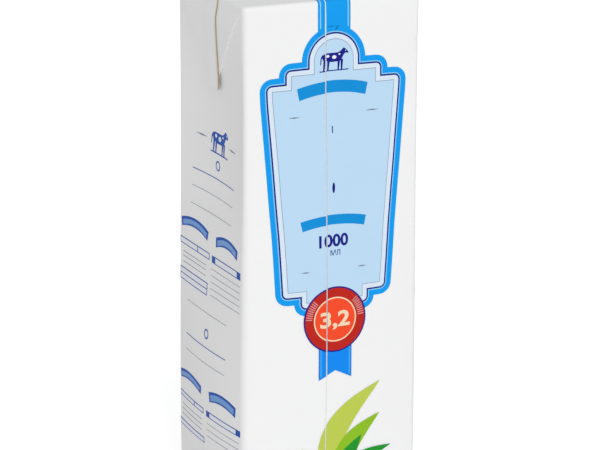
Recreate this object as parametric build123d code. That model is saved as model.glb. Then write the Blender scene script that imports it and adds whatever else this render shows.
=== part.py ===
"""One-litre folded-board milk carton: a closed brick with flat ears, a seal fin and tucked base flaps.

The pack is one folded sheet, filled and shut, so it is one closed solid. +Z is up and the
origin is the middle of the footprint. The main label panel faces -Y, the ears are folded down
the -X and +X side panels, and the seal fin lies flat across the top, turned to the front.
"""
from build123d import *
import os
from math import atan2, cos, sin

# ---- Driving dimensions, in millimetres ----
width = 75.0                # left to right, crease to crease
depth = 66.0                # front to back, crease to crease
height = 205.0              # resting face to top panel
corner_radius = 2.4         # rounding of the four upright edges
rim_radius = 1.4            # rounding round the top panel
foot_radius = 1.0           # rounding round the bottom panel

front_swell = 3.8           # how far the front and back panels belly out at the fullest part
side_swell = 2.8            # the same for the side panels
swell_height = 50.0         # height of the fullest part
waist_height = 98.0         # height where the side panels turn from bellying out to sinking in
ear_press = 3.8             # how far the side panels are pushed in at the points of the ears

ear_thickness = 1.1         # a folded-down ear stands this proud of its side panel
fin_width = 8.0             # sealed strip, from its fold line to its raw edge
fin_thickness = 0.9         # the strip stands this proud of the top panel and the ears
base_flap_thickness = 1.4   # flaps tucked flat under the base
base_fin_lift = 0.5         # the base's own fin keeps this clear of the ground
bite = 3.0                  # how deep the ears, fins and flaps reach into the body, to be one with it

# ---- Sizes that follow ----
ear_drop = depth / 2                    # a square-folded ear is half as long as its panel is wide
ear_root = height - rim_radius          # the ears start where the rounded rim ends
ear_foot = ear_root - ear_drop          # height of the points of the ears
side_x = width / 2                      # the side panels' creases
ear_tilt = atan2(ear_press, ear_drop)   # the ears lean in with the panels they are stuck to
half_flap = depth / 2 - corner_radius   # ears and base flaps stop short of the rounded edges


def panel_line(start, end, outward, swell):
    """One side of the outline: an arc that stands out by swell, or a line where the panel is flat."""
    if abs(swell) < 0.01:
        return Line(start, end)
    middle = (Vector(*start) + Vector(*end)) / 2 + Vector(*outward) * swell
    return ThreePointArc(start, middle, end)


def outline(z, front, side):
    """The body's cross-section at height z, with how far the panels stand out there."""
    half_w, half_d = width / 2, depth / 2
    with BuildSketch(Plane.XY.offset(z)) as section:
        with BuildLine():
            panel_line((-half_w, -half_d), (half_w, -half_d), (0, -1), front)
            panel_line((half_w, -half_d), (half_w, half_d), (1, 0), side)
            panel_line((half_w, half_d), (-half_w, half_d), (0, 1), front)
            panel_line((-half_w, half_d), (-half_w, -half_d), (-1, 0), side)
        make_face()
        fillet(section.vertices(), corner_radius)
    return section.sketch


def filled_body():
    """The brick of board and milk: flat at both ends, swollen low down, pinched in below the ears."""
    bottom = base_flap_thickness
    stations = (
        (bottom, 0.0, 0.0),
        ((bottom + swell_height) / 2, 0.8 * front_swell, 0.8 * side_swell),
        (swell_height, front_swell, side_swell),
        (waist_height, 0.9 * front_swell, 0.0),
        ((waist_height + ear_foot) / 2, 0.5 * front_swell, -0.85 * ear_press),
        (ear_foot, 0.15 * front_swell, -ear_press),
        (height, 0.0, 0.0),
    )
    body = loft([outline(*station) for station in stations])
    body = fillet(body.edges().group_by(Axis.Z)[0], foot_radius)
    return fillet(body.edges().group_by(Axis.Z)[-1], rim_radius)


def flap(plane, inward, outward):
    """A square-folded flap: long side on the plane's X axis, pointing along its Y axis."""
    corners = ((-half_flap, 0), (half_flap, 0), (0, ear_drop))
    face = plane.offset(-inward) * make_face(Polyline(*corners, close=True))
    return extrude(face, inward + outward)


def ear(side):
    """An ear folded down the side panel at side -1 or +1, leaning in with the panel."""
    outward = Vector(side * cos(ear_tilt), 0, -sin(ear_tilt))
    plane = Plane(origin=(side * side_x, 0, ear_root), x_dir=(0, -side, 0), z_dir=outward)
    return flap(plane, bite, ear_thickness)


def seal_fin():
    """The seal fin: one strip that crosses the top and runs down both ears to their points."""
    proud = ear_thickness + fin_thickness
    shoulder = side_x + proud
    crown = height + fin_thickness
    outline_points = (
        (-shoulder + ear_press, ear_foot),
        (-shoulder, crown),
        (shoulder, crown),
        (shoulder - ear_press, ear_foot),
    )
    band = Plane.XZ * make_face(Polyline(*outline_points, close=True))
    band = fillet(band.vertices().group_by(Axis.Z)[-1], proud)
    return extrude(band, fin_width)


def base_flap(side):
    """A flap tucked under the base at side -1 or +1; the two are what the pack stands on."""
    plane = Plane(origin=(side * (side_x - foot_radius), 0, 0), x_dir=(0, -side, 0), z_dir=(0, 0, -1))
    return flap(plane, base_flap_thickness + bite, 0)


def base_fin():
    """The base's own fin, lying flat between the bottom panel and the flaps."""
    length = 2 * (side_x - foot_radius)
    rise = base_flap_thickness + bite - base_fin_lift
    strip = Box(length, fin_width, rise, align=(Align.CENTER, Align.MAX, Align.MIN))
    return Pos(0, 0, base_fin_lift) * strip


def carton():
    """The whole pack as one closed solid."""
    pack = filled_body() + seal_fin() + base_fin()
    for side in (-1, 1):
        pack = pack + ear(side) + base_flap(side)
    return pack


os.makedirs("parts", exist_ok=True)
export_step(carton(), "parts/carton.step")
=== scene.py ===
"""Looks of a one-litre folded-board milk carton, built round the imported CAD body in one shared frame.

Sizes are in millimetres and turned to metres when a mesh is finished. The front panel faces -Y.
Panel coordinates are u across a panel (to the right, seen from outside), w up it, h out of it.
"""

import logging
from dataclasses import dataclass, field
from enum import Enum, IntEnum
from math import cos, hypot, pi, radians, sin
from typing import Callable, Sequence

import bmesh
import bpy
from mathutils import Matrix, Vector

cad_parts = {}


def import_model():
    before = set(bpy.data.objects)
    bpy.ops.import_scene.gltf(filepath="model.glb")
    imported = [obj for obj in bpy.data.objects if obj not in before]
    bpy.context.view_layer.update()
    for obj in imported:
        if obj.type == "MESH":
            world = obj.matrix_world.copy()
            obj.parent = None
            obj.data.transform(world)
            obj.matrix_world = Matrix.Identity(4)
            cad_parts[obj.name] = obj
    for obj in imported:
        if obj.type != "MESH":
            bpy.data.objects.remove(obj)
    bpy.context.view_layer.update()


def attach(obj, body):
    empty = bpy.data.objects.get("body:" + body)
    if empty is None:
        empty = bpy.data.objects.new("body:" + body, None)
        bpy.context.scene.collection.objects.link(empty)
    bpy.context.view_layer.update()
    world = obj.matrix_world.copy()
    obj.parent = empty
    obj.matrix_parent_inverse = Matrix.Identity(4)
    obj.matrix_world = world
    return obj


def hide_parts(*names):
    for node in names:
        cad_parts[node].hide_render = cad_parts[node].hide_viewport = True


log = logging.getLogger("carton")

MM = 0.001
BODY = "root"
NODE = "carton"
Point = tuple[float, float]
Line = list[Point]


class Side(Enum):
    """The four upright panels, named from the printed front."""

    FRONT = "front"
    BACK = "back"
    LEFT = "left"
    RIGHT = "right"


class Layer(IntEnum):
    """How many inks lie under a printed shape, so that none sinks into another."""

    FIRST = 1
    SECOND = 2
    LABEL = 7
    LABEL_OVER = 8
    SEAL_RIM = 9
    SEAL_RING = 10
    SEAL_FACE = 11
    SEAL_MIDDLE = 12
    SEAL_NUMBER = 13


# ---------------------------------------------------------------- shape of the pack


def ease(t: float) -> float:
    """A smooth step from 0 to 1."""
    t = min(1.0, max(0.0, t))
    return t * t * (3 - 2 * t)


def profile(stations: Sequence[Point], z: float) -> float:
    """The value at height z, eased between (height, value) stations."""
    for (z0, a), (z1, b) in zip(stations, stations[1:]):
        if z <= z1:
            return a + (b - a) * ease((z - z0) / (z1 - z0))
    return stations[-1][1]


@dataclass(frozen=True)
class Pack:
    """The filled pack: a folded brick with bellied panels, and the way flat art is laid on it."""

    width: float = 75.0
    depth: float = 66.0
    height: float = 205.0
    base: float = 1.4
    corner_radius: float = 2.4
    rim_radius: float = 1.4
    foot_radius: float = 1.0
    seam_u: float = -3.1
    seam_gap: float = 0.36
    seam_step: float = 0.3
    seam_slip: float = 0.3
    crease_start: Point = (30.9, 179.5)
    crease_end: Point = (37.2, 189.9)
    crease_rise: float = 0.35
    crease_sink: float = 0.5
    grid: float = 3.0
    rim_cuts: int = 4
    front_swell: tuple[Point, ...] = (
        (1.4, 0.0), (25.0, 2.7), (50.0, 3.3), (98.0, 3.0),
        (134.0, 1.9), (171.0, 0.5), (205.0, 0.0),
    )
    side_swell: tuple[Point, ...] = (
        (1.4, 0.0), (25.0, 2.1), (50.0, 2.6), (98.0, 0.0),
        (134.0, -3.3), (160.0, -3.9), (205.0, 0.0),
    )

    @property
    def rim_w(self) -> float:
        """The height at which the rounded rim starts."""
        return self.height - self.rim_radius

    @property
    def top_w(self) -> float:
        """The distance up a panel at which the flat top starts."""
        return self.rim_w + self.rim_radius * pi / 2

    def swell(self, p: Vector) -> Vector:
        """Where a point of the plain brick ends up on the filled, folded pack."""
        half_w, half_d = self.width / 2, self.depth / 2
        across = max(0.0, 1 - (p.x / half_w) ** 2)
        along = max(0.0, 1 - (p.y / half_d) ** 2)
        dy = profile(self.front_swell, p.z) * across
        dx = profile(self.side_swell, p.z) * along
        skin, fade = 2.0, 4.0
        if p.y < -half_d + skin and p.z < self.rim_w:
            dy += self.overlap(p.x) * ease((self.rim_w - p.z) / fade) + self.pinch(p.x, p.z)
        return Vector((p.x + (dx if p.x > 0 else -dx), p.y + (dy if p.y > 0 else -dy), p.z))

    def overlap(self, x: float) -> float:
        """How far the lapped sheet stands proud beside the seam."""
        if x < self.seam_u:
            return 0.0
        foot, fall = 3 * self.grid, 2 * self.grid
        return self.seam_step * min(1.0, max(0.0, (foot - x) / fall))

    def pinch(self, x: float, z: float) -> float:
        """A short crease pressed into the front panel near its upper right corner."""
        start = Vector(self.crease_start)
        run = Vector(self.crease_end) - start
        to = Vector((x, z)) - start
        t = to.dot(run) / run.length_squared
        off = (to.x * run.y - to.y * run.x) / run.length
        fade = ease(t * 4 + 0.6) * ease((1.25 - t) * 3)
        ridge = self.crease_rise * max(0.0, 1 - abs(off + 0.6) / 1.6)
        groove = self.crease_sink * max(0.0, 1 - abs(off - 1.5) / 2.0)
        return (ridge - groove) * fade

    def cut_rim(self, bm: bmesh.types.BMesh) -> None:
        """Slices flat art that runs over the rounded rim finely enough to turn with it."""
        if max(v.co.y for v in bm.verts) > self.rim_w:
            for i in range(self.rim_cuts + 1):
                cut(bm, 1, self.rim_w + (self.top_w - self.rim_w) * i / self.rim_cuts)

    def wrap(self, side: Side, u: float, w: float, h: float) -> Vector:
        """Lays a point of a panel on the pack, over the rim and on to the top where it runs so far.

        Args:
            side: the panel.
            u: how far across it the point lies.
            w: how far up it.
            h: how far out of it.

        Returns:
            The point's place, in millimetres.
        """
        wide = side in (Side.FRONT, Side.BACK)
        half = (self.depth if wide else self.width) / 2
        r = self.rim_radius
        if w <= self.rim_w:
            out, z = half + h, w
        elif w < self.top_w:
            turn = (w - self.rim_w) / r
            out, z = half - r + (r + h) * cos(turn), self.rim_w + (r + h) * sin(turn)
        else:
            out, z = half - r - (w - self.top_w), self.height + h
        place = {
            Side.FRONT: Vector((u, -out, z)),
            Side.BACK: Vector((-u, out, z)),
            Side.LEFT: Vector((-out, -u, z)),
            Side.RIGHT: Vector((out, u, z)),
        }
        return self.swell(place[side])


# ---------------------------------------------------------------- materials


def linear(channel: int) -> float:
    """One 0-255 display channel as linear light."""
    c = channel / 255
    return c / 12.92 if c <= 0.04045 else ((c + 0.055) / 1.055) ** 2.4


@dataclass(frozen=True)
class Finish:
    """A surface finish: a display colour and how it shines."""

    name: str
    rgb: tuple[int, int, int]
    roughness: float = 0.42
    coat: float = 0.03
    mottle: float = 0.03
    bump: float = 0.02


class Sock:
    """A shader socket that can be added, taken away and multiplied."""

    def __init__(self, tree: "Tree", socket: bpy.types.NodeSocket) -> None:
        """Wraps one output socket of a tree."""
        self.tree = tree
        self.socket = socket

    def _math(self, operation: str, a: object, b: object) -> "Sock":
        """One Math node on two values."""
        return self.tree.node("ShaderNodeMath", {"operation": operation}, {0: a, 1: b})

    def __add__(self, other: object) -> "Sock":
        """This plus a value."""
        return self._math("ADD", self, other)

    def __radd__(self, other: object) -> "Sock":
        """A value plus this."""
        return self._math("ADD", other, self)

    def __sub__(self, other: object) -> "Sock":
        """This less a value."""
        return self._math("SUBTRACT", self, other)

    def __rsub__(self, other: object) -> "Sock":
        """A value less this."""
        return self._math("SUBTRACT", other, self)

    def __mul__(self, other: object) -> "Sock":
        """This times a value."""
        return self._math("MULTIPLY", self, other)

    def __rmul__(self, other: object) -> "Sock":
        """A value times this."""
        return self._math("MULTIPLY", other, self)


class Tree:
    """A node tree filled through one method."""

    def __init__(self, owner: bpy.types.ID) -> None:
        """Clears the owner's node tree."""
        owner.use_nodes = True
        self.nodes = owner.node_tree.nodes
        self.links = owner.node_tree.links
        self.nodes.clear()

    def node(
        self,
        kind: str,
        settings: dict[str, object],
        inputs: dict[object, object],
        output: int | str = 0,
    ) -> Sock | None:
        """Makes a node.

        Args:
            kind: the node's type.
            settings: properties set on the node.
            inputs: values or sockets for its inputs, by name or index.
            output: the output handed back, by name or index.

        Returns:
            The chosen output, wrapped, or None for a node that has none.
        """
        made = self.nodes.new(kind)
        for key, value in settings.items():
            setattr(made, key, value)
        for key, value in inputs.items():
            if isinstance(value, Sock):
                self.links.new(value.socket, made.inputs[key])
            else:
                made.inputs[key].default_value = value
        return Sock(self, made.outputs[output]) if len(made.outputs) else None


class Palette:
    """Makes each finish's material once."""

    broad_scale = 60.0
    fine_scale = 900.0
    roughness_spread = 0.12
    tooth_depth = 0.0001
    tooth_gain = 4
    coat_roughness = 0.3
    specular = 0.16

    def __init__(self) -> None:
        """Starts with no materials."""
        self.made: dict[str, bpy.types.Material] = {}

    def material(self, finish: Finish) -> bpy.types.Material:
        """The material of a finish."""
        if finish.name not in self.made:
            self.made[finish.name] = self.build(finish)
        return self.made[finish.name]

    def build(self, finish: Finish) -> bpy.types.Material:
        """Printed or bare coated board: slightly mottled, softly shiny, with a fine tooth."""
        material = bpy.data.materials.new(finish.name)
        tree = Tree(material)
        where = tree.node("ShaderNodeTexCoord", {}, {}, "Object")
        broad = tree.node(
            "ShaderNodeTexNoise", {}, {"Vector": where, "Scale": self.broad_scale, "Detail": 3.0}
        )
        fine = tree.node(
            "ShaderNodeTexNoise", {}, {"Vector": where, "Scale": self.fine_scale, "Detail": 2.0}
        )
        light = [linear(c) for c in finish.rgb]
        base = (*light, 1.0)
        dark = (*[c * (1 - finish.mottle * 2) for c in light], 1.0)
        shade = tree.node(
            "ShaderNodeMix", {"data_type": "RGBA"}, {0: broad * 0.6 + fine * 0.4, 6: base, 7: dark}, 2
        )
        rough = finish.roughness + (broad - 0.5) * self.roughness_spread
        relief = tree.node(
            "ShaderNodeBump", {},
            {
                "Strength": finish.bump * self.tooth_gain,
                "Distance": self.tooth_depth,
                "Height": fine,
            },
        )
        shader = tree.node(
            "ShaderNodeBsdfPrincipled", {},
            {
                "Base Color": shade,
                "Roughness": rough,
                "Normal": relief,
                "Coat Weight": finish.coat,
                "Coat Roughness": self.coat_roughness,
                "Specular IOR Level": self.specular,
            },
        )
        tree.node("ShaderNodeOutputMaterial", {}, {"Surface": shader})
        return material


BOARD = Finish("board_white", (250, 250, 251), 0.45, 0.1, 0.015, 0.05)
RAW = Finish("board_raw_cream", (238, 229, 214), 0.75, 0.0, 0.08, 0.1)
# The lower ply's raw edge: a darker copy of the cream raw board colour, which is painted shade.
RAW_EDGE_SHADED = Finish("board_raw_edge_painted_shade", (186, 168, 150), 0.8, 0.0, 0.1, 0.1)
CYAN = Finish("ink_cyan", (0, 162, 250))
BRIGHT = Finish("ink_bright", (150, 215, 252))
NAVY = Finish("ink_navy", (18, 24, 138))
NEAR_WHITE = Finish("ink_near_white", (225, 240, 254))
HAIR = Finish("ink_hairline", (150, 168, 190))
PALE = Finish("ink_pale_field", (196, 228, 253))
BANNER = Finish("ink_banner", (0, 148, 225))
GREY = Finish("ink_grey", (128, 138, 158))
RED = Finish("ink_red", (255, 78, 40))
DARK_RED = Finish("ink_dark_red", (196, 34, 20))
RIB = Finish("ink_rib", (222, 150, 150))
CREAM = Finish("ink_cream", (255, 226, 190))
TAIL = Finish("ink_tail", (0, 142, 250))
TAIL_EDGE = Finish("ink_tail_edge", (0, 92, 190))
TAIL_LIGHT = Finish("ink_tail_light", (70, 185, 254))
LIME = Finish("ink_lime", (197, 213, 84))
GREEN = Finish("ink_green", (147, 198, 36))
DARK_GREEN = Finish("ink_dark_green", (34, 154, 46))
SIDE_BLUE = Finish("ink_side_blue", (0, 84, 186))
SIDE_LIGHT = Finish("ink_side_light", (122, 168, 230))
PAPER = Finish("ink_paper", (246, 248, 252))


# ---------------------------------------------------------------- meshes


def cut(bm: bmesh.types.BMesh, axis: int, at: float) -> None:
    """Slices a mesh with one plane square to an axis."""
    normal = [0.0, 0.0, 0.0]
    normal[axis] = 1.0
    place = [0.0, 0.0, 0.0]
    place[axis] = at
    everything = [*bm.verts, *bm.edges, *bm.faces]
    bmesh.ops.bisect_plane(bm, geom=everything, dist=1e-5, plane_co=place, plane_no=normal)


def cut_grid(bm: bmesh.types.BMesh, step: float, axes: Sequence[int]) -> None:
    """Slices a mesh on a regular grid, so that it can follow the pack's curves."""
    for axis in axes:
        low = min(v.co[axis] for v in bm.verts)
        high = max(v.co[axis] for v in bm.verts)
        line = (int(low // step) + 1) * step
        while line < high - 1e-4:
            cut(bm, axis, line)
            line += step


class Builder:
    """Turns bmeshes in millimetres into finished pieces of the carton."""

    ink_base = 0.03
    ink_step = 0.022

    def __init__(self, pack: Pack, palette: Palette) -> None:
        """Keeps the pack that art is laid on and the palette it is painted from."""
        self.pack = pack
        self.palette = palette
        self.made = 0

    def piece(
        self, name: str, bm: bmesh.types.BMesh, finish: Finish, smooth: bool = True
    ) -> bpy.types.Object:
        """Makes an object that rides on the carton's body.

        Args:
            name: the piece's name.
            bm: its mesh, in millimetres, which is used up.
            finish: the finish it wears.
            smooth: whether its faces are shaded smooth.

        Returns:
            The new object.
        """
        bmesh.ops.scale(bm, vec=(MM, MM, MM), verts=bm.verts)
        mesh = bpy.data.meshes.new(name)
        for face in bm.faces:
            face.smooth = smooth
        bm.to_mesh(mesh)
        bm.free()
        made = bpy.data.objects.new(name, mesh)
        bpy.context.scene.collection.objects.link(made)
        made.data.materials.append(self.palette.material(finish))
        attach(made, BODY)
        self.made += 1
        log.info("%s: %d faces", name, len(mesh.polygons))
        return made

    def lay(
        self, name: str, art: "Art", side: Side, layer: int, finish: Finish
    ) -> bpy.types.Object:
        """Prints flat art on a panel: cut on the pack's grid, parted at the seam and draped.

        Args:
            name: what is printed; the panel's name is put after it.
            art: the flat shapes, which are used up.
            side: the panel.
            layer: how many inks lie under it.
            finish: the ink.

        Returns:
            The new object.
        """
        bm, pack = art.bm, self.pack
        bmesh.ops.remove_doubles(bm, verts=bm.verts, dist=1e-4)
        cut_grid(bm, pack.grid, (0, 1))
        pack.cut_rim(bm)
        if side is Side.FRONT:
            self.part_at_seam(bm)
        height = self.ink_base + self.ink_step * layer
        for face in bm.faces:
            if face.normal.z < 0:
                face.normal_flip()
        for v in bm.verts:
            v.co = pack.wrap(side, v.co.x, v.co.y, height)
        return self.piece(f"{name}_{side.value}", bm, finish)

    def part_at_seam(self, bm: bmesh.types.BMesh) -> None:
        """Leaves the seam's raw edge bare and drops the print on its left a little."""
        left = self.pack.seam_u - self.pack.seam_gap
        cut(bm, 0, left)
        cut(bm, 0, self.pack.seam_u)
        bare = [f for f in bm.faces if left < f.calc_center_median().x < self.pack.seam_u]
        bmesh.ops.delete(bm, geom=bare, context="FACES")
        for v in bm.verts:
            if v.co.x <= left + 1e-4:
                v.co.y -= self.pack.seam_slip


class Art:
    """Flat shapes in panel coordinates, all of one ink."""

    def __init__(self) -> None:
        """Starts empty."""
        self.bm = bmesh.new()

    def bar(self, u0: float, w0: float, u1: float, w1: float) -> "Art":
        """Adds an upright rectangle."""
        size = Matrix.Diagonal(((u1 - u0) / 2, (w1 - w0) / 2, 1, 1))
        middle = Matrix.Translation(((u0 + u1) / 2, (w0 + w1) / 2, 0))
        bmesh.ops.create_grid(self.bm, x_segments=1, y_segments=1, size=1, matrix=middle @ size)
        return self

    def disc(self, u: float, w: float, r: float, squash: float = 1.0, steps: int = 48) -> "Art":
        """Adds a disc, or an oval if squashed."""
        place = Matrix.Translation((u, w, 0)) @ Matrix.Diagonal((1, squash, 1, 1))
        bmesh.ops.create_circle(self.bm, cap_ends=True, segments=steps, radius=r, matrix=place)
        return self

    def ring(self, u: float, w: float, outer: float, inner: float, steps: int = 56) -> "Art":
        """Adds a ring, bridged between two circles."""
        place = Matrix.Translation((u, w, 0))
        a = bmesh.ops.create_circle(self.bm, segments=steps, radius=outer, matrix=place)["verts"]
        b = bmesh.ops.create_circle(self.bm, segments=steps, radius=inner, matrix=place)["verts"]
        edges = {e for v in (*a, *b) for e in v.link_edges}
        bmesh.ops.bridge_loops(self.bm, edges=list(edges))
        return self

    def patch(self, points: Sequence[Point]) -> "Art":
        """Adds a shape inside a closed outline."""
        verts = [self.bm.verts.new((u, w, 0)) for u, w in points]
        face = self.bm.faces.new(verts)
        bmesh.ops.triangulate(self.bm, faces=[face])
        return self

    def strip(self, over: Sequence[Point], under: Sequence[Point]) -> "Art":
        """Adds a band bridged between two lines of points."""
        top = [self.bm.verts.new((u, w, 0)) for u, w in over]
        low = [self.bm.verts.new((u, w, 0)) for u, w in under]
        for line in (top, low):
            for a, b in zip(line, line[1:]):
                self.bm.edges.new((a, b))
        edges = [e for v in (*top, *low) for e in v.link_edges]
        bmesh.ops.bridge_loops(self.bm, edges=list(dict.fromkeys(edges)))
        return self

    def words(self, text: str, u0: float, w0: float, u1: float, w1: float, weight: float) -> "Art":
        """Adds plain lettering that fills a box.

        Args:
            text: what it says.
            u0: left of the box.
            w0: foot of the box.
            u1: right of the box.
            w1: top of the box.
            weight: how much the strokes are thickened.

        Returns:
            The same art.
        """
        curve = bpy.data.curves.new("lettering", "FONT")
        curve.body = text
        curve.offset = weight
        curve.resolution_u = 6
        holder = bpy.data.objects.new("lettering", curve)
        bpy.context.scene.collection.objects.link(holder)
        bpy.context.view_layer.update()
        mesh = bpy.data.meshes.new_from_object(holder)
        bpy.data.objects.remove(holder)
        xs = [v.co.x for v in mesh.vertices]
        ys = [v.co.y for v in mesh.vertices]
        across = (u1 - u0) / (max(xs) - min(xs))
        up = (w1 - w0) / (max(ys) - min(ys))
        for v in mesh.vertices:
            v.co = ((v.co.x - min(xs)) * across + u0, (v.co.y - min(ys)) * up + w0, 0)
        self.bm.from_mesh(mesh)
        bpy.data.meshes.remove(mesh)
        return self


def arc(centre: Point, r: float, start: float, end: float, steps: int) -> Line:
    """Points along an arc, with angles in degrees."""
    turns = [radians(start + (end - start) * i / steps) for i in range(steps + 1)]
    return [(centre[0] + r * cos(t), centre[1] + r * sin(t)) for t in turns]


# ---------------------------------------------------------------- the pack's solid pieces


@dataclass
class Shell:
    """The filled body: board folded round a brick, bellied low down and pinched in below the ears."""

    build: Builder

    def make(self) -> None:
        """Builds the body from a beveled cube, cut fine and swollen."""
        pack = self.build.pack
        bm = bmesh.new()
        tall = pack.height - pack.base
        middle = Matrix.Translation((0, 0, pack.base + tall / 2))
        size = Matrix.Diagonal((pack.width, pack.depth, tall, 1))
        bmesh.ops.create_cube(bm, size=1, matrix=middle @ size)
        self.round_edges(bm, self.upright, pack.corner_radius, 5)
        self.round_edges(bm, self.at_height(pack.height), pack.rim_radius, 4)
        self.round_edges(bm, self.at_height(pack.base), pack.foot_radius, 3)
        cut_grid(bm, pack.grid, (0, 1, 2))
        cut(bm, 0, pack.seam_u)
        cut(bm, 0, pack.seam_u - pack.seam_gap)
        for v in bm.verts:
            v.co = pack.swell(v.co)
        bmesh.ops.recalc_face_normals(bm, faces=bm.faces)
        body = self.build.piece("carton_body", bm, BOARD)
        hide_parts(NODE)

    @staticmethod
    def upright(edge: bmesh.types.BMEdge) -> bool:
        """Whether an edge stands upright."""
        a, b = edge.verts
        return hypot(a.co.x - b.co.x, a.co.y - b.co.y) < 0.01

    @staticmethod
    def at_height(z: float) -> Callable[[bmesh.types.BMEdge], bool]:
        """A test for edges that lie at one height."""
        return lambda edge: all(abs(v.co.z - z) < 0.01 for v in edge.verts)

    @staticmethod
    def round_edges(
        bm: bmesh.types.BMesh, chosen: Callable[[bmesh.types.BMEdge], bool], r: float, steps: int
    ) -> None:
        """Rounds the chosen edges."""
        sharp = 0.5
        edges = [
            e for e in bm.edges
            if chosen(e) and len(e.link_faces) == 2 and e.calc_face_angle() > sharp
        ]
        bmesh.ops.bevel(
            bm, geom=edges, offset=r, segments=steps, profile=0.5, affect="EDGES", material=-1
        )


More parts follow.
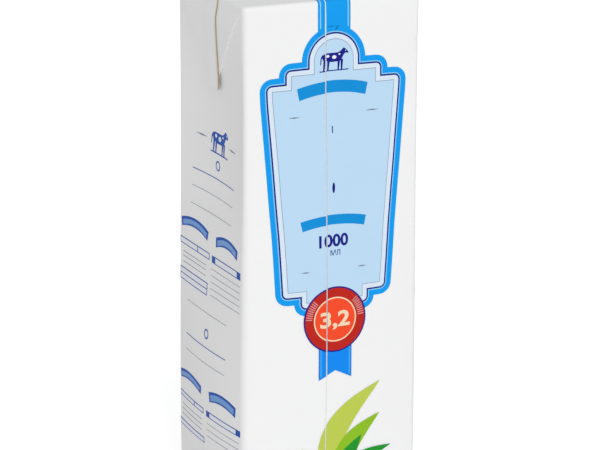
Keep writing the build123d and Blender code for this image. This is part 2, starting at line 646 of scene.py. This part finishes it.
@dataclass
class Plates:
    """The folded parts that stand proud: ears, two-ply fin, the seam's edge, flaps under the base."""

    build: Builder
    ear: float = 1.05
    ear_half: float = 30.6
    drop: float = 33.0
    fin_width: float = 7.9
    fin_foot: float = 166.4
    fin_skew: float = 4.7
    ply: float = 0.42
    ear_point: float = 1.2
    ear_square: float = 0.8
    ear_fade: float = 9.0
    plate_grid: float = 2.0
    lean_top: float = 201.0
    lean_run: float = 30.0
    ground: float = 0.02
    flap_bite: float = 0.3
    base_fin_width: float = 8.0
    base_fin_thick: float = 1.2
    base_fin_z: float = 1.12

    def make(self) -> None:
        """Builds every folded part."""
        for side in (Side.LEFT, Side.RIGHT):
            self.make_ear(side)
            self.make_fin(side)
        self.make_seam_edge()
        self.make_base()

    def plate(
        self,
        name: str,
        art: Art,
        side: Side,
        low: Callable[[float], float],
        high: Callable[[float], float],
        finish: Finish,
        lean: float = 0.0,
    ) -> None:
        """Thickens a flat shape between two heights and folds it on to the pack.

        Args:
            name: the piece's name; the panel's name is put after it.
            art: the flat shape, which is used up.
            side: the panel.
            low: the height of its underside at each distance up the panel.
            high: the height of its outside.
            finish: the finish it wears.
            lean: how far it drifts sideways towards its foot.
        """
        bm, pack = art.bm, self.build.pack
        bmesh.ops.remove_doubles(bm, verts=bm.verts, dist=1e-4)
        cut_grid(bm, self.plate_grid, (0, 1))
        pack.cut_rim(bm)
        grown = bmesh.ops.extrude_face_region(bm, geom=list(bm.faces))
        raised = {g for g in grown["geom"] if isinstance(g, bmesh.types.BMVert)}
        for v in bm.verts:
            v.co.z = 1.0 if v in raised else 0.0
        for v in bm.verts:
            u, w = v.co.x, v.co.y
            h = high(w) if v.co.z > 0.5 else low(w)
            shift = lean * max(0.0, self.lean_top - w) / self.lean_run
            v.co = pack.wrap(side, u + shift, w, h)
        bmesh.ops.recalc_face_normals(bm, faces=bm.faces)
        self.build.piece(f"{name}_{side.value}", bm, finish, smooth=False)

    def ear_height(self, w: float) -> float:
        """How proud the ear stands: nothing at the rim it is folded over, its full thickness below."""
        return self.ear * ease((self.build.pack.rim_w + 0.5 - w) / self.ear_fade)

    def make_ear(self, side: Side) -> None:
        """One triangular ear, folded down over the side panel."""
        root = self.build.pack.rim_w
        foot, square = root - self.drop, root - self.ear_square
        half, point, bite = self.ear_half, self.ear_point, 0.2
        corners = [(-half, root), (-half, square), (-point, foot)]
        mirrored = [(-u, w) for u, w in reversed(corners)]
        art = Art().patch([*corners, *mirrored])
        self.plate("ear", art, side, lambda w: -bite, self.ear_height, BOARD)

    def make_fin(self, side: Side) -> None:
        """Half of the sealed fin: two plies lying flat, towards the front, from the ear to mid top."""
        pack = self.build.pack
        end = pack.top_w + pack.width / 2 - pack.rim_radius
        way = 1 if side is Side.LEFT else -1
        lean = -self.fin_skew * way
        under = sorted((0.0, way * (self.fin_width + 0.15)))
        over = sorted((0.0, way * self.fin_width))
        edge = sorted((way * (self.fin_width - 0.02), way * (self.fin_width + 0.3)))
        tan = sorted((way * (self.fin_width + 0.1), way * (self.fin_width + 0.55)))
        sunk = 0.02
        layers = (
            ("fin_under", under, 0.0, self.ply, BOARD),
            ("fin_over", over, self.ply, self.ply * 2, BOARD),
            ("fin_raw_edge", edge, self.ply * 0.9, self.ply * 1.85, RAW),
            # the lower ply's raw edge wears a darker copy of the raw board colour, which is painted
            # shade
            ("fin_raw_under", tan, 0.0, self.ply * 0.9, RAW_EDGE_SHADED),
        )
        for name, (u0, u1), low, high, finish in layers:
            art = Art().bar(u0, self.fin_foot, u1, end)
            self.plate(
                name, art, side,
                lambda w, low=low: self.ear_height(w) + low - sunk,
                lambda w, high=high: self.ear_height(w) + high,
                finish, lean,
            )

    def make_seam_edge(self) -> None:
        """The bare, pale edge of the lapped sheet, down the front panel."""
        pack, lip, wide, foot = self.build.pack, 0.02, 0.2, 1.2
        bm = Art().bar(pack.seam_u - wide, pack.base + foot, pack.seam_u + lip, pack.rim_w).bm
        cut_grid(bm, pack.grid, (1,))
        for v in bm.verts:
            across = Vector((v.co.x - pack.seam_u, 0, 0))
            v.co = pack.wrap(Side.FRONT, pack.seam_u + lip, v.co.y, lip) + across
        bmesh.ops.recalc_face_normals(bm, faces=bm.faces)
        self.build.piece("seam_edge", bm, PAPER)

    def make_base(self) -> None:
        """Two triangular flaps tucked under the base, and the base's own fin between them."""
        pack = self.build.pack
        half = pack.depth / 2 - pack.corner_radius
        inner = pack.width / 2 - pack.corner_radius
        for way, name in ((-1, "base_flap_left"), (1, "base_flap_right")):
            bm = bmesh.new()
            corners = [(way * inner, -half), (way * inner, half), (way * (inner - half), 0.0)]
            face = bm.faces.new([bm.verts.new((x, y, self.ground)) for x, y in corners])
            grown = bmesh.ops.extrude_face_region(bm, geom=[face])["geom"]
            raised = [g for g in grown if isinstance(g, bmesh.types.BMVert)]
            bmesh.ops.translate(bm, vec=(0, 0, pack.base + self.flap_bite), verts=raised)
            bmesh.ops.recalc_face_normals(bm, faces=bm.faces)
            self.build.piece(name, bm, BOARD, smooth=False)
        bm = bmesh.new()
        size = Matrix.Diagonal((inner * 2, self.base_fin_width, self.base_fin_thick, 1))
        place = Matrix.Translation((0, -self.base_fin_width / 2, self.base_fin_z))
        bmesh.ops.create_cube(bm, size=1, matrix=place @ size)
        self.build.piece("base_fin", bm, BOARD, smooth=False)


# ---------------------------------------------------------------- print


@dataclass(frozen=True)
class Crest:
    """The label's stepped crest, as a closed outline that can be inset."""

    axis: float = 0.2
    arch: Point = (0.0, 181.7)
    arch_radius: float = 13.5
    arch_foot: float = 182.1
    corner_radius: float = 5.0
    step: Point = (23.1, 176.6)
    shoulder: Point = (31.1, 176.6)
    flank: tuple[Point, ...] = ((30.9, 167.0), (29.4, 149.0), (27.2, 122.0), (26.5, 114.0), (25.0, 90.6))
    foot: Point = (17.2, 85.4)
    base: float = 80.6

    def outline(self, inset: float) -> Line:
        """The outline drawn in by inset, anticlockwise; its corners are square once the arcs run out.

        Args:
            inset: how far inside the crest's edge the line runs.

        Returns:
            The closed outline's points, in panel coordinates.
        """
        i, r, big = inset, self.corner_radius - inset, self.arch_radius - inset
        flank = [(u - i, w) for u, w in self.flank]
        foot = (self.foot[0] - i, self.foot[1] + i)
        if r > 0.1:
            right = [
                *arc(self.arch, big, 90, 3, 14), (big, self.arch_foot - i),
                *arc((18.1, 177.0), r, 90, 2, 6), (self.step[0] - i, self.step[1] - i),
                *arc((26.1, 171.5), r, 90, 0, 6), *flank,
                *arc((20.0, 90.4), r, 0, -90, 6), foot,
                *arc((12.2, 85.6), r, -2, -90, 6),
            ]
        else:
            right = [
                *arc(self.arch, big, 90, 0, 14), (big, self.arch_foot - i),
                (self.step[0] - i, self.arch_foot - i), (self.step[0] - i, self.step[1] - i),
                (self.shoulder[0] - i, self.shoulder[1] - i), *flank,
                (flank[-1][0], foot[1]), foot, (foot[0], self.base + i),
            ]
        left = [(-u, w) for u, w in reversed(right[1:])]
        return [(u + self.axis, w) for u, w in (*right, *left)]


@dataclass
class Figure:
    """A plain standing cow in flat colour, sized to a box."""

    u0: float
    w0: float
    u1: float
    w1: float

    def at(self, x: float, y: float) -> Point:
        """A point of the unit box, placed."""
        return (self.u0 + x * (self.u1 - self.u0), self.w0 + y * (self.w1 - self.w0))

    def solid(self) -> Art:
        """The dark shape: body, neck, head, legs, tail and ground."""
        art = Art()
        body = (
            (0.1, 0.74), (0.2, 0.8), (0.62, 0.8), (0.72, 0.86), (0.82, 1.0), (0.88, 0.97),
            (1.0, 0.8), (0.98, 0.73), (0.9, 0.76), (0.84, 0.7), (0.76, 0.5), (0.7, 0.4),
            (0.4, 0.38), (0.3, 0.42), (0.14, 0.46), (0.1, 0.6),
        )
        tail = ((0.1, 0.76), (0.04, 0.62), (0.02, 0.3), (0.05, 0.3), (0.08, 0.58), (0.13, 0.68))
        ground = ((0.0, -0.03), (1.0, -0.03), (1.0, 0.02), (0.0, 0.02))
        hips_and_hooves = ((0.14, 0.12), (0.26, 0.25), (0.62, 0.61), (0.72, 0.73))
        legs = [
            ((hip, 0.5), (hoof, 0.0), (hoof + 0.05, 0.0), (hip + 0.09, 0.48))
            for hip, hoof in hips_and_hooves
        ]
        for shape in (body, *legs, tail, ground):
            art.patch([self.at(*p) for p in shape])
        return art

    def patches(self) -> Art:
        """The pale patches on its flank and face."""
        art = Art()
        for x, y, r in ((0.28, 0.66, 0.055), (0.5, 0.6, 0.075), (0.68, 0.72, 0.035), (0.9, 0.86, 0.02)):
            u, w = self.at(x, y)
            art.disc(u, w, r * (self.u1 - self.u0), 0.8, 14)
        return art


def banner(
    u0: float, u1: float, w0: float, w1: float, rise: float, taper: float
) -> tuple[Line, Line]:
    """An arched banner.

    Args:
        u0: left of its top.
        u1: right of its top.
        w0: height of its lower corners.
        w1: height of its upper corners.
        rise: how far the arch rises in the middle.
        taper: how much it narrows at each end of its foot.

    Returns:
        Its upper and lower lines.
    """
    steps = 14
    span = [i / steps for i in range(steps + 1)]
    top = [(u0 + (u1 - u0) * t, w1 + rise * 4 * t * (1 - t)) for t in span]
    low = [(u0 + taper + (u1 - u0 - 2 * taper) * t, w0 + rise * 4 * t * (1 - t)) for t in span]
    return top, low


@dataclass
class FrontPrint:
    """The label side: crest, ribbon, banners, volume, seal with its tail, and blades of grass."""

    build: Builder
    side: Side
    crest: Crest = field(default_factory=Crest)
    seal: Point = (0.3, 77.8)
    ribbon: Point = (-6.5, 7.3)
    ribbon_foot: float = 192.0
    ribbon_lines: Point = (-5.4, 6.3)
    ribbon_line_foot: float = 194.4
    ribbon_line_half: float = 0.22
    clear_of_fin: float = 8.4
    clear_behind_fin: float = 0.4

    def lay(self, name: str, art: Art, layer: int, finish: Finish) -> None:
        """Prints one shape on this panel."""
        self.build.lay(name, art, self.side, layer, finish)

    def make(self) -> None:
        """Prints the whole panel."""
        self.make_ribbon()
        self.make_crest()
        self.make_label()
        self.make_seal()
        self.make_grass()

    def make_ribbon(self) -> None:
        """The ribbon that runs up from the crest, over the rim and across the top to the fin."""
        pack = self.build.pack
        clear = self.clear_of_fin if self.side is Side.FRONT else self.clear_behind_fin
        end = pack.top_w + pack.depth / 2 - pack.rim_radius - clear
        left, right = self.ribbon
        self.lay("ribbon", Art().bar(left, self.ribbon_foot, right, end), Layer.FIRST, CYAN)
        half = self.ribbon_line_half
        for name, u in zip(("ribbon_line_a", "ribbon_line_b"), self.ribbon_lines):
            line = Art().bar(u - half, self.ribbon_line_foot, u + half, end)
            self.lay(name, line, Layer.SECOND, BRIGHT)

    def make_crest(self) -> None:
        """The crest's bands, each laid over the one outside it."""
        bands = (
            ("cyan", 0.0, CYAN), ("bright", 2.2, BRIGHT), ("navy", 2.6, NAVY),
            ("pale", 3.25, NEAR_WHITE), ("hair", 5.1, HAIR), ("field", 5.35, PALE),
        )
        for layer, (name, inset, finish) in enumerate(bands, Layer.FIRST):
            self.lay(f"crest_{name}", Art().patch(self.crest.outline(inset)), layer, finish)

    def make_label(self) -> None:
        """The banners, dashes, ticks, figure and volume inside the crest."""
        upper = Art().strip(*banner(-15.4, 14.7, 166.8, 171.6, 2.1, 1.0))
        lower = Art().strip(*banner(-14.4, 13.8, 114.7, 118.6, 1.7, 0.95))
        dashes, half = Art(), 0.3
        spans = (
            (-19.1, -14.0, 160.4), (13.4, 19.8, 160.4), (-14.2, -10.3, 98.2), (9.7, 14.1, 98.2),
        )
        for u0, u1, w in spans:
            middle = (u0 + u1) / 2
            dashes.patch([(u0, w), (middle, w - half), (u1, w), (middle, w + half)])
        ticks = Art().bar(-0.85, 152.8, -0.45, 155.7).disc(-0.3, 131.0, 0.6, 3.6, 20)
        cow = Figure(-5.9, 177.6, 6.3, 186.2)
        number = Art().words("1000", -6.6, 107.4, 5.8, 112.5, 0.03)
        unit = Art().words("мл", -1.9, 103.9, 2.3, 106.1, 0.0)
        shapes = (
            ("banner_upper", upper, Layer.LABEL, BANNER),
            ("banner_lower", lower, Layer.LABEL, BANNER),
            ("dashes", dashes, Layer.LABEL, GREY),
            ("ticks", ticks, Layer.LABEL, NAVY),
            ("cow", cow.solid(), Layer.LABEL, NAVY),
            ("cow_patches", cow.patches(), Layer.LABEL_OVER, PAPER),
            ("volume_number", number, Layer.LABEL, NAVY),
            ("volume_unit", unit, Layer.LABEL, NAVY),
        )
        for shape in shapes:
            self.lay(*shape)

    def make_seal(self) -> None:
        """The red seal with ribs, its number, and the blue tail below it."""
        u, w = self.seal
        left, right, top, foot, notch = -6.6, 7.5, 70.0, 53.3, (0.4, 56.8)
        tail = Art().patch([(left, top), (right, top), (right, foot), notch, (left, foot)])
        edges = Art().bar(left, 54.2, -6.35, top).bar(7.25, 54.2, right, top)
        lines = Art().bar(-5.9, 54.6, -5.45, top).bar(6.3, 54.6, 6.75, top)
        number = Art().words("3,2", -6.1, 73.6, 6.6, 81.2, 0.03)
        shapes = (
            ("tail", tail, Layer.LABEL, TAIL),
            ("tail_edges", edges, Layer.LABEL_OVER, TAIL_EDGE),
            ("tail_lines", lines, Layer.LABEL_OVER, TAIL_LIGHT),
            ("seal_rim", Art().disc(u, w, 13.4), Layer.SEAL_RIM, NAVY),
            ("seal_ring", Art().disc(u, w, 12.8), Layer.SEAL_RING, DARK_RED),
            ("seal_ribs", self.ribs(), Layer.SEAL_FACE, RIB),
            ("seal_centre", Art().disc(u, w, 9.15), Layer.SEAL_FACE, CREAM),
            ("seal_middle", Art().disc(u, w, 8.6), Layer.SEAL_MIDDLE, RED),
            ("seal_number", number, Layer.SEAL_NUMBER, CREAM),
        )
        for shape in shapes:
            self.lay(*shape)

    def ribs(self) -> Art:
        """Short spokes on the seal's ring, fanned up from each side."""
        art, centre = Art(), Vector(self.seal)
        inner, outer, half, first, step = 9.9, 12.5, 0.22, 5, 4.6
        angles = [first + i * step for i in range(9)]
        for turn in map(radians, [*angles, *[180 - a for a in angles]]):
            out = Vector((cos(turn), sin(turn)))
            side = Vector((-out.y, out.x)) * half
            near, far = centre + out * inner, centre + out * outer
            art.patch([tuple(p) for p in (near - side, far - side, far + side, near + side)])
        return art

    def make_grass(self) -> None:
        """A tuft of generic blades at the foot of the panel."""
        blades = (
            ("lime", LIME, (-6, 12, 20.5, 49.8, 5.0, 5.5), (-2, 5, -13.5, 25.5, 3.4, -3.0)),
            ("green", GREEN, (0, 8, 20.5, 36.3, 4.4, 4.0), (-6, 5, -20.0, 18.0, 3.0, -3.0)),
            ("dark", DARK_GREEN, (4, 5, 12.5, 28.0, 4.0, 3.0), (0, 5, 26.0, 22.0, 3.4, 4.0)),
        )
        for layer, (name, finish, *shapes) in enumerate(blades, Layer.LABEL):
            art = Art()
            for shape in shapes:
                art.strip(*self.blade(*shape))
            self.lay(f"grass_{name}", art, layer, finish)

    @staticmethod
    def blade(
        u0: float, w0: float, u1: float, w1: float, fat: float, bow: float
    ) -> tuple[Line, Line]:
        """A pointed, bowed leaf.

        Args:
            u0: across at its root.
            w0: height of its root.
            u1: across at its tip.
            w1: height of its tip.
            fat: half its greatest width.
            bow: how far its middle bends aside.

        Returns:
            Its left and right edges, from root to tip.
        """
        steps, low, full, point = 16, 0.8, 0.9, 0.02
        run = Vector((u1 - u0, w1 - w0))
        across = Vector((-run.y, run.x)).normalized()
        spine = [
            Vector((u0, w0)) + run * (i / steps) + across * bow * sin(pi * i / steps)
            for i in range(steps + 1)
        ]
        middle = [fat * sin(pi * (i / steps) ** low) ** full for i in range(1, steps)]
        wide = [point, *middle, point]
        left = [tuple(p + across * f) for p, f in zip(spine, wide)]
        right = [tuple(p - across * f) for p, f in zip(spine, wide)]
        return left, right


@dataclass
class SidePrint:
    """A side panel: two stacked groups of banners, bars, boxes and rules, with rings and a figure."""

    build: Builder
    side: Side
    banners: tuple[tuple[float, ...], ...] = (
        (-30.0, -3.1, 103.5, 107.2, 2.0),
        (4.6, 26.8, 103.1, 107.0, 2.0),
        (-30.2, -4.1, 39.5, 43.0, 1.8),
        (3.7, 27.2, 38.8, 43.0, 1.8),
    )
    boxes: tuple[tuple, ...] = (
        (-31.1, 96.3, -1.0, 99.1, (-13.0,), 1),
        (1.5, 96.0, 29.9, 99.0, (4.6, 26.8), 1),
        (-31.1, 81.3, -2.2, 86.5, (), 2),
        (-30.5, 32.0, -2.4, 34.3, (-12.5,), 1),
        (0.5, 31.8, 30.5, 34.4, (3.6, 27.4), 1),
        (-31.0, 19.5, -2.3, 22.0, (), 1),
    )
    left_rules: tuple[float, ...] = (93.3, 91.4, 89.0, 29.0, 26.8, 24.6)
    right_rules: tuple[float, ...] = (93.3, 90.6, 87.9, 85.2, 82.5, 29.0, 26.4, 23.8)
    long_rules: tuple[float, ...] = (122.3, 115.0, 74.5, 54.0)
    blue_rules: tuple[float, ...] = (129.3, 60.5)
    rings: tuple[float, ...] = (134.7, 66.1)
    dashes: tuple[Point, ...] = ((-20.2, -9.8), (10.9, 20.4))
    dash_w: float = 144.3
    dash_half: float = 0.35

    def make(self) -> None:
        """Prints the whole panel."""
        blue, light, paper, grey = Art(), Art(), Art(), Art()
        for shape in self.banners:
            self.framed(blue, light, *shape)
        for shape in self.boxes:
            self.boxed(blue, paper, *shape)
        self.rule(grey, self.left_rules, -28.0, -4.4, 0.12)
        self.rule(grey, self.right_rules, 1.0, 29.4, 0.1)
        for u0, u1 in self.dashes:
            middle, w, half = (u0 + u1) / 2, self.dash_w, self.dash_half
            grey.patch([(u0, w), (middle, w - half), (u1, w), (middle, w + half)])
        self.rule(grey, self.long_rules, -22.0, 18.0, 0.1)
        self.rule(blue, self.blue_rules, -22.0, 18.5, 0.18)
        for w in self.rings:
            blue.ring(0.0, w, 2.1, 1.45, 32)
        cow = Figure(-7.2, 139.7, 10.2, 150.0)
        shapes = (
            ("side_cow", cow.solid(), Layer.FIRST, SIDE_BLUE),
            ("side_cow_patches", cow.patches(), Layer.SECOND, PAPER),
            ("side_blue", blue, Layer.FIRST, SIDE_BLUE),
            ("side_light", light, Layer.SECOND, SIDE_LIGHT),
            ("side_paper", paper, Layer.SECOND, PAPER),
            ("side_grey", grey, Layer.FIRST, GREY),
        )
        for name, art, layer, finish in shapes:
            self.build.lay(name, art, self.side, layer, finish)

    @staticmethod
    def rule(art: Art, heights: Sequence[float], u0: float, u1: float, half: float) -> None:
        """Draws level rules of one length."""
        for w in heights:
            art.bar(u0, w - half, u1, w + half)

    @staticmethod
    def framed(
        blue: Art, light: Art, u0: float, u1: float, w0: float, w1: float, rise: float
    ) -> None:
        """A banner with a paler field inside its border."""
        side, edge, flatter = 1.5, 0.9, 0.93
        blue.strip(*banner(u0, u1, w0, w1, rise, 0.6))
        light.strip(*banner(u0 + side, u1 - side, w0 + edge, w1 - edge, rise * flatter, 0.5))

    @staticmethod
    def boxed(
        blue: Art,
        paper: Art,
        u0: float,
        w0: float,
        u1: float,
        w1: float,
        dividers: tuple[float, ...],
        rows: int,
    ) -> None:
        """Draws a ruled box; a cell narrower than a few millimetres stays solid.

        Args:
            blue: the ink of its lines.
            paper: the ink of its cells.
            u0: its left.
            w0: its foot.
            u1: its right.
            w1: its top.
            dividers: where its upright lines stand.
            rows: how many rows it has.
        """
        line, narrow = 0.4, 4
        blue.bar(u0, w0, u1, w1)
        stops = [u0, *dividers, u1]
        step = (w1 - w0 - line) / rows
        for a, b in zip(stops, stops[1:]):
            if b - a < narrow:
                continue
            for row in range(rows):
                foot = w0 + line + step * row
                paper.bar(a + line, foot, b - line, foot + step - line)


# ---------------------------------------------------------------- studio


@dataclass
class Studio:
    """Camera, light and floor."""

    place: tuple[float, float, float] = (-554.9, -1230.0, 481.05)
    yaw: float = 24.335
    pitch: float = 15.497
    roll: float = -0.292
    lens: float = 210.0
    sensor: float = 36.0
    near: float = 0.05
    key: float = 1.14
    key_spread: float = 50.0
    key_way: tuple[float, float, float] = (0.10, 0.9, -0.40)
    fill: float = 0.58
    floor_reach: float = 12.0
    floor_tone: float = 0.9
    floor_glow: float = 0.45

    def make(self) -> None:
        """Sets the scene up."""
        self.make_camera()
        self.make_world()
        self.make_key()
        self.make_floor()

    def make_camera(self) -> None:
        """The camera, aimed by yaw, pitch and roll."""
        yaw, pitch, roll = radians(self.yaw), radians(self.pitch), radians(self.roll)
        ahead = Vector((sin(yaw) * cos(pitch), cos(yaw) * cos(pitch), -sin(pitch)))
        right = Vector((cos(yaw), -sin(yaw), 0))
        down = ahead.cross(right)
        tilted = right * cos(roll) + down * sin(roll)
        below = down * cos(roll) - right * sin(roll)
        turn = Matrix((tilted, -below, -ahead)).transposed().to_4x4()
        lens = bpy.data.cameras.new("camera")
        lens.lens = self.lens
        lens.sensor_width = self.sensor
        lens.clip_start = self.near
        holder = bpy.data.objects.new("camera", lens)
        holder.matrix_world = Matrix.Translation(Vector(self.place) * MM) @ turn
        bpy.context.scene.collection.objects.link(holder)
        bpy.context.scene.camera = holder

    def make_world(self) -> None:
        """White to the camera, a soft even fill for the rest."""
        world = bpy.data.worlds.new("world")
        bpy.context.scene.world = world
        tree = Tree(world)
        white = (1, 1, 1, 1)
        seen = tree.node("ShaderNodeLightPath", {}, {}, "Is Camera Ray")
        fill = tree.node("ShaderNodeBackground", {}, {"Color": white, "Strength": self.fill})
        clear = tree.node("ShaderNodeBackground", {}, {"Color": white, "Strength": 1.0})
        mixed = tree.node("ShaderNodeMixShader", {}, {0: seen, 1: fill, 2: clear})
        tree.node("ShaderNodeOutputWorld", {}, {"Surface": mixed})

    def make_key(self) -> None:
        """A broad soft key from the front, above and a little to the left."""
        lamp = bpy.data.lights.new("key", "SUN")
        lamp.energy = self.key
        lamp.angle = radians(self.key_spread)
        holder = bpy.data.objects.new("key", lamp)
        holder.rotation_euler = Vector(self.key_way).to_track_quat("-Z", "Y").to_euler()
        bpy.context.scene.collection.objects.link(holder)

    def make_floor(self) -> None:
        """A white floor that keeps the object's shadow."""
        bm = bmesh.new()
        bmesh.ops.create_grid(bm, x_segments=1, y_segments=1, size=self.floor_reach)
        mesh = bpy.data.meshes.new("floor")
        bm.to_mesh(mesh)
        bm.free()
        floor = bpy.data.objects.new("floor", mesh)
        bpy.context.scene.collection.objects.link(floor)
        material = bpy.data.materials.new("floor_white")
        tree = Tree(material)
        seen = tree.node("ShaderNodeLightPath", {}, {}, "Is Camera Ray")
        tone = (self.floor_tone, self.floor_tone, self.floor_tone, 1)
        lit = tree.node("ShaderNodeBsdfDiffuse", {}, {"Color": tone})
        glow = tree.node(
            "ShaderNodeEmission", {}, {"Color": (1, 1, 1, 1), "Strength": seen * self.floor_glow}
        )
        both = tree.node("ShaderNodeAddShader", {}, {0: lit, 1: glow})
        tree.node("ShaderNodeOutputMaterial", {}, {"Surface": both})
        floor.data.materials.append(material)


def main() -> None:
    """Builds the carton's looks round the frame."""
    logging.basicConfig(level=logging.INFO, format="%(message)s")
    bpy.context.scene.view_settings.view_transform = "Standard"
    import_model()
    build = Builder(Pack(), Palette())
    Studio().make()
    Shell(build).make()
    Plates(build).make()
    for side in (Side.FRONT, Side.BACK):
        FrontPrint(build, side).make()
    for side in (Side.LEFT, Side.RIGHT):
        SidePrint(build, side).make()
    log.info("pieces made: %d", build.made)


if __name__ == "__main__":
    main()
